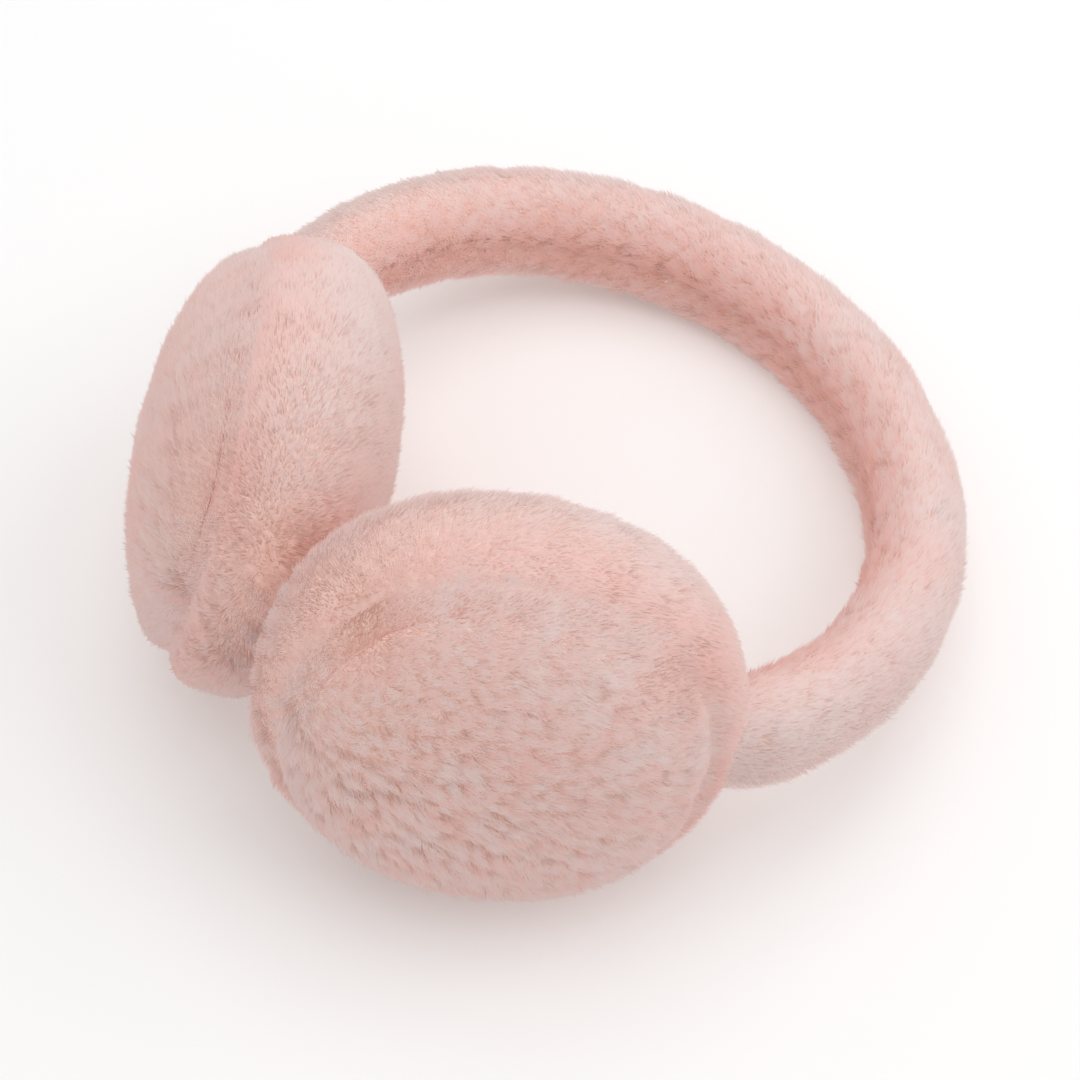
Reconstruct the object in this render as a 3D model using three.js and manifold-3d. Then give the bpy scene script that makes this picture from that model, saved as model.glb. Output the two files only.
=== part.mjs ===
// Plush earmuffs, lying on a table as they lie by themselves.
// A padded fur sleeve is bent round like a horseshoe and carries a round fur pad at each end.
// Each pad is two fur panels sewn together along a crease: an outer face and a deeper ear side.
// The deep pile is built as flat locks of fur that lie over one another on each piece's backing.
// Millimetres and degrees. +X is the right pad's side, +Y is towards the crown of the band, +Z is up.

import * as THREE from "three";
import { mergeVertices } from "three/addons/utils/BufferGeometryUtils.js";
import Module from "manifold-3d";

const wasm = await Module();
wasm.setup();

// Driving dimensions of the pads, measured over the fur
const padAcross = 114; // from the rim at the band to the free rim
const padTall = 118; // across, the other way
const padFaceDepth = 34.3; // from the pad's widest ring to the top of its outer face
const padEarDepth = 30.5; // from the pad's widest ring to the top of its ear side
const padRimRound = 1.85; // 2 is an ellipse's flank, and less is a leaner one
const padDomeRound = 2.18; // 2 is an ellipse's dome, and more is a flatter one
const padOutlineRound = 2.14; // 2 is a round pad, and more has fuller corners
const padSeamHeight = 15.5; // the seam's plane, outward of the widest ring
const padCreaseDepth = 5; // how far the seam draws the fur in
const padCreaseReach = 9; // how far from the seam the crease opens

// Driving dimensions of the band
const bandRadiusAcross = 86.6; // of the sleeve's middle line, ear to ear
const bandRadiusUp = 83.2; // of the same line, towards the crown
const bandSweep = 115; // from the crown to each end of the middle line
const bandThick = 25.7; // inside to outside
const bandWide = 33.2; // front edge to back edge
const bandCreaseDepth = 4; // of the seam along the inner side

// How the pads hang on the band and how it all lies
const padTurn = 46.7; // between a pad's length and the head's middle plane
const padLean = 5.3; // each face is turned up by this much
const bandReach = 8.9; // how far the band's end goes into the pad's rim
const padOutset = -0.6; // the widest ring, outward of the band's end
const restPress = 2.2; // how much the fur gives where it lies on the table
const clearance = 0.3; // between pieces that touch

// Locks of fur
const lockLong = 24;
const lockWide = 15;
const lockThick = 5;
const lockRise = 1.8; // from the backing to a lock's tip
const padLockPitch = 20;
const bandLockPitch = 24;
const bandLocksRound = 5;

const smallestArc = 0.001; // for slopes that are worked out between two near points

const padRadius = padAcross / 2 - lockRise / 2;
const padStretch = padTall / padAcross;
const bandHalfThick = (bandThick - lockRise) / 2;
const bandHalfWide = (bandWide - lockRise) / 2;

// Solids

function solidOf(geometry) {
  const bare = geometry.index ? geometry.toNonIndexed() : geometry.clone();
  bare.deleteAttribute("normal");
  bare.deleteAttribute("uv");
  const merged = mergeVertices(bare, 1e-4);
  return new wasm.Manifold(
    new wasm.Mesh({
      numProp: 3,
      vertProperties: merged.attributes.position.array,
      triVerts: new Uint32Array(merged.index.array),
    }),
  );
}

function geometryOf(solid) {
  const { vertProperties, triVerts } = solid.getMesh();
  const geometry = new THREE.BufferGeometry();
  geometry.setAttribute("position", new THREE.BufferAttribute(vertProperties, 3));
  geometry.setIndex(new THREE.BufferAttribute(triVerts, 1));
  geometry.computeVertexNormals();
  return geometry;
}

// A box between two corners given in the part's frame, as a solid in a node's own frame
function boxFor(node, low, high) {
  const size = new THREE.Vector3().subVectors(high, low);
  const box = new THREE.BoxGeometry(size.x, size.y, size.z);
  box.translate((low.x + high.x) / 2, (low.y + high.y) / 2, (low.z + high.z) / 2);
  box.applyMatrix4(node.matrixWorld.clone().invert());
  return solidOf(box);
}

// The pad, in a frame of its own: x runs from the band to the free rim, y outward, z across

// How far the pad reaches from its axis at a height, without its crease
function padReachAt(height, grow = 0) {
  const depth = (height > 0 ? padFaceDepth : padEarDepth) - lockRise / 2 + grow;
  const share = Math.min(Math.abs(height) / depth, 1);
  return (padRadius + grow) * (1 - share ** padDomeRound) ** (1 / padRimRound);
}

function padCreaseAt(height) {
  const share = Math.abs(height - padSeamHeight) / padCreaseReach;
  return padCreaseDepth * Math.max(0, 1 - share) ** 2;
}

function outlineAt(angle) {
  const across = Math.abs(Math.cos(angle)) ** padOutlineRound;
  const up = Math.abs(Math.sin(angle)) ** padOutlineRound;
  return (across + up) ** (-1 / padOutlineRound);
}

function padPoint(height, angle) {
  const reach = Math.max(padReachAt(height) - padCreaseAt(height), 0) * outlineAt(angle);
  return new THREE.Vector3(
    reach * Math.cos(angle),
    height,
    reach * Math.sin(angle) * padStretch,
  );
}

// Heights from one end to the other, close together where the dome turns into the flank
function heightsOf(from, to, depth, steps) {
  const angleAt = (height) =>
    Math.sign(height) * Math.asin(Math.min(Math.abs(height) / depth, 1) ** (padDomeRound / 2));
  const heights = [];
  for (let i = 0; i <= steps; i++) {
    const angle = THREE.MathUtils.lerp(angleAt(from), angleAt(to), i / steps);
    heights.push(Math.sign(angle) * Math.abs(Math.sin(angle)) ** (2 / padDomeRound) * depth);
  }
  return heights;
}

// A turned solid with the pad's outline, from a list of [reach, height] pairs that ends on its axis
function turnedPad(profile) {
  const sides = 32;
  const points = profile.map(([reach, height]) => new THREE.Vector2(reach, height));
  const geometry = new THREE.LatheGeometry(points, sides);
  const place = geometry.attributes.position;
  for (let i = 0; i < place.count; i++) {
    const angle = Math.atan2(place.getZ(i), place.getX(i));
    const round = outlineAt(angle);
    place.setX(i, place.getX(i) * round);
    place.setZ(i, place.getZ(i) * round * padStretch);
  }
  return solidOf(geometry);
}

function padFaceBacking() {
  const top = padFaceDepth - lockRise / 2;
  const seat = padSeamHeight + clearance / 2;
  const creaseTop = padSeamHeight + padCreaseReach / 2;
  const heights = [seat, ...heightsOf(creaseTop, top, top, 6)];
  const flank = heights.map((height) => [padReachAt(height) - padCreaseAt(height), height]);
  flank[flank.length - 1][0] = 0;
  return turnedPad([[0, seat], ...flank]);
}

function padCushionBacking() {
  const bottom = padEarDepth - lockRise / 2;
  const seat = padSeamHeight - clearance / 2;
  const creaseFoot = padSeamHeight - padCreaseReach / 2;
  const heights = [...heightsOf(-bottom, 0, bottom, 7), creaseFoot / 2, creaseFoot, seat];
  const flank = heights.map((height) => [padReachAt(height) - padCreaseAt(height), height]);
  flank[0][0] = 0;
  return turnedPad([...flank, [0, seat]]);
}

// The whole pad without crease or locks, grown by the clearance, which the band's ends are cut with
function padEnvelope(grow) {
  const top = padFaceDepth - lockRise / 2 + grow;
  const bottom = padEarDepth - lockRise / 2 + grow;
  const heights = [...heightsOf(-bottom, 0, bottom, 10), ...heightsOf(0, top, top, 10).slice(1)];
  const flank = heights.map((height) => [padReachAt(height, grow), height]);
  flank[0][0] = 0;
  flank[flank.length - 1][0] = 0;
  return flank;
}

// The band, in a frame of its own: its middle line lies in the plane z = 0 with the crown at +y

class BandLine extends THREE.Curve {
  getPoint(share, target = new THREE.Vector3()) {
    const angle = THREE.MathUtils.degToRad(bandSweep) * (2 * share - 1);
    return target.set(bandRadiusAcross * Math.sin(angle), bandRadiusUp * Math.cos(angle), 0);
  }
}
const bandLine = new BandLine();

// A point on the sleeve: round = 0 is the outer side, a quarter turn is the top edge
function bandPoint(share, round) {
  const middle = bandLine.getPointAt(THREE.MathUtils.clamp(share, 0, 1));
  const along = bandLine.getTangentAt(THREE.MathUtils.clamp(share, 0, 1));
  const out = new THREE.Vector3(-along.y, along.x, 0);
  middle.addScaledVector(out, bandHalfThick * Math.cos(round));
  middle.z += bandHalfWide * Math.sin(round);
  return middle;
}

function bandSkin(share, round) {
  const place = bandPoint(share, round);
  const aside = bandPoint(share, round + smallestArc);
  const ahead = bandPoint(share + smallestArc, round);
  return { place, normal: normalOf(place, aside, ahead) };
}

function bandBacking() {
  const sides = 16;
  const steps = 42;
  const section = new THREE.Shape();
  for (let i = 0; i < sides; i++) {
    const round = (2 * Math.PI * i) / sides;
    const drawnIn = i === sides / 2 ? bandCreaseDepth : 0;
    const across = -bandHalfWide * Math.sin(round);
    const out = (bandHalfThick - drawnIn) * Math.cos(round);
    if (i === 0) section.moveTo(across, out);
    else section.lineTo(across, out);
  }
  section.closePath();
  return solidOf(new THREE.ExtrudeGeometry(section, { steps, extrudePath: bandLine }));
}

// A lock of fur: a flat five-sided cone, bent over the skin that it lies on.
// skins holds the skin under its root, its middle and its tip. The root is sunk, the tip stands over.

function lockOver(skins) {
  const [root, , tip] = skins;
  const cone = new THREE.ConeGeometry(lockWide / 2, 2, 5, 2);
  const side = new THREE.Vector3().subVectors(tip.place, root.place);
  side.cross(root.normal).normalize();
  const vertices = cone.attributes.position;
  for (let i = 0; i < vertices.count; i++) {
    const station = Math.round(vertices.getY(i) + 1);
    const { place, normal } = skins[station];
    const sunk = THREE.MathUtils.lerp(lockThick * 0.55, -lockRise, station / 2);
    const thick = (vertices.getZ(i) * lockThick) / lockWide;
    const spot = place.clone().addScaledVector(side, vertices.getX(i));
    spot.addScaledVector(normal, thick - sunk);
    vertices.setXYZ(i, spot.x, spot.y, spot.z);
  }
  return cone;
}

function normalOf(point, alongOne, alongTwo) {
  const one = new THREE.Vector3().subVectors(alongOne, point);
  const two = new THREE.Vector3().subVectors(alongTwo, point);
  return new THREE.Vector3().crossVectors(one, two).normalize();
}

// The place and normal of a pad's skin straight out from its middle, towards a point
function padSkinTowards(point) {
  const angle = Math.atan2(point.z / padStretch, point.x);
  const reach = Math.hypot(point.x, point.z / padStretch) / outlineAt(angle);
  let inside = 0;
  let outside = 4;
  for (let i = 0; i < 30; i++) {
    const scale = (inside + outside) / 2;
    if (scale * reach < padReachAt(scale * point.y)) inside = scale;
    else outside = scale;
  }
  const height = inside * point.y;
  const place = padPoint(height, angle);
  const above = padPoint(height + smallestArc, angle);
  const beside = padPoint(height, angle + smallestArc);
  return { place, normal: normalOf(place, above, beside) };
}

// Locks in rings round the pad's axis, between two heights, wherever keep(place) is true
function padLocks(from, to, flowAt, keep) {
  const samples = 120;
  const locks = [];
  let walked = 0;
  let nextRing = padLockPitch * 0.45;
  let before = padPoint(from, 0);
  let ring = 0;
  for (let i = 1; i <= samples; i++) {
    const share = Math.sin((Math.PI / 2) * (i / samples));
    const height = THREE.MathUtils.lerp(from, to, share);
    const here = padPoint(height, 0);
    walked += here.distanceTo(before);
    before = here;
    if (walked < nextRing) continue;
    nextRing += padLockPitch * 0.85;
    const count = Math.max(Math.round((2 * Math.PI * here.x) / padLockPitch), 1);
    for (let k = 0; k < count; k++) {
      const angle = (2 * Math.PI * (k + (ring % 2) / 2)) / count;
      const root = padSkinTowards(padPoint(height, angle));
      const along = flowAt(root.place).projectOnPlane(root.normal).setLength(lockLong / 2);
      const middle = padSkinTowards(along.add(root.place));
      const onward = flowAt(middle.place).projectOnPlane(middle.normal).setLength(lockLong / 2);
      const tip = padSkinTowards(onward.add(middle.place));
      if (keep(root.place) && keep(tip.place)) locks.push(lockOver([root, middle, tip]));
    }
    ring += 1;
  }
  return locks;
}

// How far round the sleeve a lock turns from root to tip: away from the seam along the inner side
const bandSlant = (round) => 0.5 * Math.sin(round);

function bandLocks(keep) {
  const rows = Math.round(bandLine.getLength() / bandLockPitch);
  const seamAside = 2 * Math.PI * 0.12;
  const locks = [];
  for (let row = 0; row < rows; row++) {
    const share = (row + 0.5) / rows;
    for (let k = 0; k < bandLocksRound; k++) {
      const turn = (k + 0.25 + (row % 2) / 2) / bandLocksRound;
      const round = Math.PI + seamAside + turn * (2 * Math.PI - 2 * seamAside);
      const skins = [0, 0.5, 1].map((step) =>
        bandSkin(share + (step * lockLong) / bandLine.getLength(), round + bandSlant(round) * step),
      );
      if (keep(skins[0].place) && keep(skins[2].place)) locks.push(lockOver(skins));
    }
  }
  return locks;
}

// Assembly

const earmuffs = new THREE.Group();
const bandFrame = new THREE.Group();
earmuffs.add(bandFrame);

const bandEnd = bandLine.getPoint(1);
const turn = THREE.MathUtils.degToRad(padTurn);
const towardsFreeRim = new THREE.Vector3(-Math.sin(turn), -Math.cos(turn), 0);
const outward = new THREE.Vector3(Math.cos(turn), -Math.sin(turn), 0);

// The two sides of the head are mirror images
const sides = [];
for (const [name, mirror] of [["right", 1], ["left", -1]]) {
  const side = new THREE.Group();
  side.scale.x = mirror;
  const hang = new THREE.Group();
  hang.position.copy(bandEnd);
  hang.position.addScaledVector(towardsFreeRim, padAcross / 2 - bandReach);
  hang.position.addScaledVector(outward, padOutset);
  hang.rotation.z = -(Math.PI / 2 + turn);
  const pad = new THREE.Group();
  pad.rotation.x = THREE.MathUtils.degToRad(padLean);
  hang.add(pad);
  side.add(hang);
  bandFrame.add(side);
  sides.push({ name, pad });
}
earmuffs.updateMatrixWorld(true);

// The lowest point of a geometry's points once the band's frame is tilted about X
function lowestAt(points, tilt) {
  let lowest = Infinity;
  for (const point of points) {
    lowest = Math.min(lowest, point.z * Math.cos(tilt) - point.y * Math.sin(tilt));
  }
  return lowest;
}

function pointsOf(solid, node) {
  const place = geometryOf(solid).attributes.position;
  const points = [];
  for (let i = 0; i < place.count; i++) {
    points.push(new THREE.Vector3().fromBufferAttribute(place, i).applyMatrix4(node.matrixWorld));
  }
  return points;
}

// The tilt at which the pads and the crown of the band reach the table together
const smoothPad = turnedPad(padEnvelope(0));
const padPoints = pointsOf(smoothPad, sides[0].pad);
const bandPoints = pointsOf(bandBacking(), bandFrame);
let tiltLow = 0;
let tiltHigh = Math.PI / 4;
for (let i = 0; i < 40; i++) {
  const middle = (tiltLow + tiltHigh) / 2;
  if (lowestAt(padPoints, middle) < lowestAt(bandPoints, middle)) tiltLow = middle;
  else tiltHigh = middle;
}
bandFrame.rotation.x = -tiltLow;
bandFrame.position.z = -lowestAt(padPoints, tiltLow) - restPress;
earmuffs.updateMatrixWorld(true);

// Space above the table, and the space on the right of the head's middle plane
const far = 4 * (bandRadiusAcross + padAcross);
const aboveTable = (node) =>
  boxFor(node, new THREE.Vector3(-far, -far, 0), new THREE.Vector3(far, far, far));
const rightHalf = (node) =>
  boxFor(node, new THREE.Vector3(clearance / 2, -far, -far), new THREE.Vector3(far, far, far));

// Where fur is pressed flat, or runs into the band, a pad carries no locks
const bandStations = bandLine.getSpacedPoints(40);
function isFreeOnPad(place) {
  const inWorld = place.clone().applyMatrix4(sides[0].pad.matrixWorld);
  const inBand = bandFrame.worldToLocal(inWorld.clone());
  const pressed = inWorld.z < 2 * restPress || inWorld.x < 2 * restPress;
  const nearBand = bandStations.some((station) => station.distanceTo(inBand) < bandWide);
  return !pressed && !nearBand;
}

function isFreeOnBand(place) {
  const mirrored = new THREE.Vector3(Math.abs(place.x), place.y, place.z);
  const inWorld = bandFrame.localToWorld(mirrored);
  const inPad = sides[0].pad.worldToLocal(inWorld.clone());
  const spread = Math.hypot(inPad.x, inPad.z / padStretch);
  const nearPad = spread < padRadius + lockLong * 0.4 && Math.abs(inPad.y) < padFaceDepth;
  return inWorld.z > 2 * restPress && !nearPad;
}

// Fur on a face fans out from a point near its free rim, and on an ear side it runs to that rim
const fanStart = new THREE.Vector3(padRadius * 0.8, padFaceDepth * 0.5, -padRadius * 0.2);
const faceFlow = (place) => place.clone().sub(fanStart);
const cushionFlow = (place) => new THREE.Vector3(padRadius, -padEarDepth, place.z * 0.3);

const withLocks = (backing, locks) =>
  locks.reduce((solid, lock) => solid.add(solidOf(lock)), backing);

// One half of a pad, trimmed at the seam's plane
function trimmedAtSeam(solid, low, high) {
  const slab = new THREE.BoxGeometry(2 * padTall, high - low, 2 * padTall);
  slab.translate(0, (low + high) / 2, 0);
  return solid.intersect(solidOf(slab));
}

const padNode = sides[0].pad;
const pressedPad = (solid) => solid.intersect(aboveTable(padNode)).intersect(rightHalf(padNode));

const faceTop = padFaceDepth - lockRise / 2;
const faceLocks = padLocks(padSeamHeight, faceTop, faceFlow, isFreeOnPad);
const faceSolid = trimmedAtSeam(
  withLocks(padFaceBacking(), faceLocks),
  padSeamHeight + clearance / 2,
  2 * padFaceDepth,
);
const faceGeometry = geometryOf(pressedPad(faceSolid));

const earTop = -(padEarDepth - lockRise / 2);
const cushionLocks = padLocks(padSeamHeight, earTop, cushionFlow, isFreeOnPad);
const cushionSolid = trimmedAtSeam(
  withLocks(padCushionBacking(), cushionLocks),
  -2 * padEarDepth,
  padSeamHeight - clearance / 2,
);
const cushionGeometry = geometryOf(pressedPad(cushionSolid));

let sleeve = withLocks(bandBacking(), bandLocks(isFreeOnBand)).intersect(aboveTable(bandFrame));
for (const { pad } of sides) {
  const room = geometryOf(turnedPad(padEnvelope(clearance)));
  room.applyMatrix4(pad.matrixWorld).applyMatrix4(bandFrame.matrixWorld.clone().invert());
  if (pad.matrixWorld.determinant() < 0) {
    const order = room.index.array;
    for (let i = 0; i < order.length; i += 3) {
      [order[i + 1], order[i + 2]] = [order[i + 2], order[i + 1]];
    }
  }
  sleeve = sleeve.subtract(solidOf(room));
}

// Plush in two tones: the ear sides and the band show more of the deeper pink of the roots
const plush = (color) => new THREE.MeshStandardMaterial({ color, roughness: 0.95, metalness: 0 });
const facePlush = plush(0xe8c6c0);
const cushionPlush = plush(0xe6bdb6);
const bandPlush = plush(0xe5bab3);

function addPiece(parent, name, geometry, material) {
  const piece = new THREE.Mesh(geometry, material);
  piece.name = name;
  parent.add(piece);
}

addPiece(bandFrame, "headband_sleeve", geometryOf(sleeve), bandPlush);
for (const { name, pad } of sides) {
  addPiece(pad, `${name}_pad_face`, faceGeometry, facePlush);
  addPiece(pad, `${name}_pad_cushion`, cushionGeometry, cushionPlush);
}

// The origin is on the table, under the middle of the whole
const extent = new THREE.Box3().setFromObject(earmuffs, true);
bandFrame.position.y -= (extent.min.y + extent.max.y) / 2;

export default earmuffs;
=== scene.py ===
# %% [markdown]
# # Pink plush earmuffs
# The real thing is two round fur pads on a padded, fur-covered spring band. It lies on a table on the
# crown of the band and on the lower rims of both pads. The solids in the frame give the size, the place
# and the outer form of the fur. This scene adds what the eye sees: a sewn backing under each panel, and
# the deep pile that stands on it.

# %% Load the frame
import math

import bmesh
import bpy
import numpy as np
from mathutils import Matrix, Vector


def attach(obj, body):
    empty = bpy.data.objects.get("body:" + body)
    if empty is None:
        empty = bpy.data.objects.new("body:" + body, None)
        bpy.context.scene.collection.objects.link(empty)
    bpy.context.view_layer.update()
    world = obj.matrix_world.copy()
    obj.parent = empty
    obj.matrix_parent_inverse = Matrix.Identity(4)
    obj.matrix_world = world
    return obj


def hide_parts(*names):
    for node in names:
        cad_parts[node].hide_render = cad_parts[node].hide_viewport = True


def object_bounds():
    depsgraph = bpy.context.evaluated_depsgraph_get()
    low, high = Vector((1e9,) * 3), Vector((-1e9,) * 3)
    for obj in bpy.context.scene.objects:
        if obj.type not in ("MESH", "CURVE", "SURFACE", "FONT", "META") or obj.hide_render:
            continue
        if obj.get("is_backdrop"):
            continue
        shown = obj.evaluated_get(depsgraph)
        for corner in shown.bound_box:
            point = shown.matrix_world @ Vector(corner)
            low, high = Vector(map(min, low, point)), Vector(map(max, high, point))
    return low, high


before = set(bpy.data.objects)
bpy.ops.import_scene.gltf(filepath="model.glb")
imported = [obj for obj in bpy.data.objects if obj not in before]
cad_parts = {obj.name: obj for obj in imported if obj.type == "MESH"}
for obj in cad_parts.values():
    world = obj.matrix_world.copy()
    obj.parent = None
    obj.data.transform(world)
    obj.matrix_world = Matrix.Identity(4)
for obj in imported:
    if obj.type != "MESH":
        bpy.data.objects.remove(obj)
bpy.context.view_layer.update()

# %% [markdown]
# ## Camera
# The photograph looks down on the earmuffs from their front right. The camera is placed first, because
# every later choice of fur length and colour is judged through it. It is aimed by its azimuth and its
# elevation at a point over the middle of the table's patch.

# %% Place the camera
MM = 0.001
AZIMUTH = math.radians(49.6)
ELEVATION = math.radians(59.2)
ROLL = math.radians(-0.5)
DISTANCE = 0.660
PIXELS = 1080
PIXELS_PER_MM = 4.013
TARGET = np.array([0.0, 0.0, 0.035])
TARGET_PIXEL = (558.8, 484.7)
SENSOR = 36.0


def place_camera():
    """A perspective camera that sees TARGET at TARGET_PIXEL in a square frame."""
    back = np.array([
        math.sin(AZIMUTH) * math.cos(ELEVATION),
        -math.cos(AZIMUTH) * math.cos(ELEVATION),
        math.sin(ELEVATION),
    ])
    level = np.array([math.cos(AZIMUTH), math.sin(AZIMUTH), 0.0])
    upright = np.cross(back, level)
    right = math.cos(ROLL) * level + math.sin(ROLL) * upright
    up = np.cross(back, right)
    data = bpy.data.cameras.new("camera")
    data.sensor_width = SENSOR
    data.lens = PIXELS_PER_MM * DISTANCE / MM * SENSOR / PIXELS
    data.shift_x = (PIXELS / 2 - TARGET_PIXEL[0]) / PIXELS
    data.shift_y = (TARGET_PIXEL[1] - PIXELS / 2) / PIXELS
    data.clip_start = 0.01
    camera = bpy.data.objects.new("camera", data)
    matrix = Matrix.Identity(4)
    for column, axis in enumerate((right, up, back, TARGET + back * DISTANCE)):
        for row in range(3):
            matrix[row][column] = axis[row]
    camera.matrix_world = matrix
    bpy.context.scene.collection.objects.link(camera)
    bpy.context.scene.camera = camera
    print("camera lens in mm:", round(data.lens, 1))


place_camera()

# %% [markdown]
# ## The shape under the fur
# Everything is worked out from the sizes of the pads and the band, in the same two turned frames that
# the solids use. A frame is a 4 by 4 matrix, so that a pad can be drawn as if it lay flat, and is then
# put in its place. The left pad is the right one in a mirror.

# %% Sizes and frames
PAD_RADIUS = 57.0 * MM
PAD_STRETCH = 118.0 / 114.0
FACE_DEPTH = 34.3 * MM
EAR_DEPTH = 30.5 * MM
RIM_ROUND = 1.85
DOME_ROUND = 2.18
OUTLINE_ROUND = 2.14
SEAM_HEIGHT = 15.5 * MM
CREASE_DEPTH = 3.6 * MM
CREASE_REACH = 6.5 * MM
BACKING_CREASE = 1.8

BAND_RADIUS_ACROSS = 86.6 * MM
BAND_RADIUS_UP = 83.2 * MM
BAND_SWEEP = math.radians(115.0)
BAND_HALF_THICK = 12.85 * MM
BAND_HALF_WIDE = 16.6 * MM
BAND_CREASE_DEPTH = 2.8 * MM
BAND_CREASE_ARC = 0.45
BAND_END_FROM = math.radians(104.0)
BAND_END_DEPTH = 2.5 * MM

PAD_TURN = math.radians(46.7)
PAD_LEAN = math.radians(5.3)
BAND_REACH = 8.9 * MM
PAD_OUTSET = -0.6 * MM
TILT = math.radians(15.93)
LIFT = 35.84 * MM
SHIFT = 9.42 * MM


def turn_matrix(angle, axis):
    return np.array(Matrix.Rotation(angle, 4, axis))


def move_matrix(x, y, z):
    return np.array(Matrix.Translation((x, y, z)))


def band_matrix():
    return move_matrix(0, SHIFT, LIFT) @ turn_matrix(-TILT, "X")


def pad_matrix(mirror):
    """mirror is 1 for the right pad and -1 for the left one."""
    end = np.array([math.sin(BAND_SWEEP) * BAND_RADIUS_ACROSS, math.cos(BAND_SWEEP) * BAND_RADIUS_UP])
    down = np.array([-math.sin(PAD_TURN), -math.cos(PAD_TURN)])
    outward = np.array([math.cos(PAD_TURN), -math.sin(PAD_TURN)])
    middle = end + down * (PAD_RADIUS - BAND_REACH) + outward * PAD_OUTSET
    hang = move_matrix(middle[0], middle[1], 0) @ turn_matrix(-math.pi / 2 - PAD_TURN, "Z")
    flip = np.diag([mirror, 1.0, 1.0, 1.0])
    return band_matrix() @ flip @ hang @ turn_matrix(PAD_LEAN, "X")


def moved(matrix, points):
    return points @ matrix[:3, :3].T + matrix[:3, 3]


def turned(matrix, directions):
    return directions @ matrix[:3, :3].T


def unit(vectors):
    return vectors / np.maximum(np.linalg.norm(vectors, axis=-1, keepdims=True), 1e-12)


def bell(distance, width):
    return np.exp(-0.5 * (distance / width) ** 2)


# %% [markdown]
# A pad is a flattened ball: its outline, its flank and its dome are each a power curve, a little fuller
# than an ellipse. To lay a hair on it, any point near the pad is drawn straight in or out from the
# middle until it lies on the skin. The slope there comes from the same formula.

# %% The pad's skin
SLACK = ((-30, 8, 50), 17, 4.0, 0.0)
SLACK_FADE = 0.9
HALVINGS = 22
OUTERMOST = 4.0
PROFILE_SAMPLES = 600


class PadSkin:
    """The outer form of a pad's fur, in the pad's own frame: x to the free rim, y outward.

    Each hollow is a spot where the fur has sunk: its place, reach and depth in mm, and how much paler it
    is. Below zero it is darker, and its pile is thinner and shorter, as where fur wears thin. On the left
    pad, the darker spot where it presses on the right pad is partly wear and partly painted shade of that
    contact. The drawn seam fades at SLACK, the loose shoulder of a pad.
    """

    def __init__(self, hollows=()):
        self.hollows = hollows

    def near(self, points, hollow):
        return bell(np.linalg.norm(points - np.array(hollow[0]) * MM, axis=1), hollow[1] * MM)

    def spread(self, points):
        across = np.abs(points[:, 0]) ** OUTLINE_ROUND
        up = np.abs(points[:, 2] / PAD_STRETCH) ** OUTLINE_ROUND
        return (across + up) ** (1 / OUTLINE_ROUND)

    def depth(self, points):
        return np.where(points[:, 1] > 0, FACE_DEPTH, EAR_DEPTH)

    def fill(self, points):
        """Below 1 inside the pad, and above 1 outside."""
        rim = (self.spread(points) / PAD_RADIUS) ** RIM_ROUND
        return rim + (np.abs(points[:, 1]) / self.depth(points)) ** DOME_ROUND

    def onto(self, points):
        inside = np.zeros(len(points))
        outside = np.full(len(points), OUTERMOST)
        for _ in range(HALVINGS):
            scale = (inside + outside) / 2
            within = self.fill(points * scale[:, None]) < 1
            inside = np.where(within, scale, inside)
            outside = np.where(within, outside, scale)
        return points * inside[:, None]

    def normal(self, points):
        spread = np.maximum(self.spread(points), 1e-6)
        rim = RIM_ROUND / PAD_RADIUS * (spread / PAD_RADIUS) ** (RIM_ROUND - 1)
        rim = rim * spread ** (1 - OUTLINE_ROUND)
        x = rim * np.abs(points[:, 0]) ** (OUTLINE_ROUND - 1) * np.sign(points[:, 0])
        z = rim * np.abs(points[:, 2] / PAD_STRETCH) ** (OUTLINE_ROUND - 1) * np.sign(points[:, 2])
        depth = self.depth(points)
        y = DOME_ROUND / depth * (np.abs(points[:, 1]) / depth) ** (DOME_ROUND - 1)
        return unit(np.stack([x, y * np.sign(points[:, 1]), z / PAD_STRETCH], axis=1))

    def crease(self, points):
        share = np.abs(points[:, 1] - SEAM_HEIGHT) / CREASE_REACH
        drawn = CREASE_DEPTH * np.maximum(0, 1 - share) ** 2
        return drawn * (1 - SLACK_FADE * self.near(points, SLACK)) + self.hollow_depth(points)

    def hollow_depth(self, points):
        depth = np.zeros(len(points))
        for hollow in self.hollows:
            depth += hollow[2] * MM * self.near(points, hollow)
        return depth

    def shade(self, points):
        paler = np.zeros(len(points))
        for hollow in self.hollows:
            paler += hollow[3] * self.near(points, hollow)
        return paler

    def scatter(self, count, low, high):
        """count places spread evenly over the skin between two heights."""
        heights = np.linspace(low, high, PROFILE_SAMPLES)
        depth = np.where(heights > 0, FACE_DEPTH, EAR_DEPTH)
        share = np.clip(np.abs(heights) / depth, 0, 1)
        reach = PAD_RADIUS * (1 - share**DOME_ROUND) ** (1 / RIM_ROUND)
        step = np.hypot(np.diff(reach), np.diff(heights))
        area = np.concatenate([[0], np.cumsum(step * (reach[1:] + reach[:-1]))])
        first, second = even_pairs(count)
        height = np.interp(first * area[-1], area, heights)
        radius = np.interp(height, heights, reach)
        angle = second * 2 * math.pi
        place = np.stack([radius * np.cos(angle), height, radius * np.sin(angle) * PAD_STRETCH], axis=1)
        return self.onto(place)


EVEN_STEPS = (0.7548776662466927, 0.5698402909980532)


def even_pairs(count):
    """Pairs of shares from 0 to 1 that fill a square evenly, with no clusters and no rows."""
    number = np.arange(count) + 0.5
    return (number * EVEN_STEPS[0]) % 1, (number * EVEN_STEPS[1]) % 1


# %% [markdown]
# The band is a sleeve of oval section round a bent middle line. A point is laid on it in the same way:
# straight out from the nearest place of the middle line.

# %% The band's skin
ROUND_SAMPLES = 400


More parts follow.
